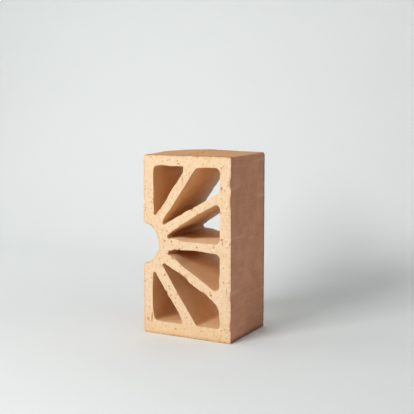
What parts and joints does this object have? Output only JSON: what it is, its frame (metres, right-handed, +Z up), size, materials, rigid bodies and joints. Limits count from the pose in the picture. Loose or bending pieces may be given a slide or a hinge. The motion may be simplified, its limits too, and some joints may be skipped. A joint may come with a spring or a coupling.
{
  "type": "screen block",
  "caption": "Fired clay screen block with a fan of wedge-shaped openings spreading like a half sun from a round notch in one long side.",
  "frame": {"origin": "centre of the bottom face, where the block stands on its short end", "axes": "+Z up along the block, +Y from the front cut face to the back one, +X from the notched side to the plain side"},
  "size_m": [0.13, 0.1, 0.24],
  "materials": {
    "fired_clay": "matte"
  },
  "bodies": {
    "root": {"screen_block": "fired_clay"}
  },
  "joints": []
}
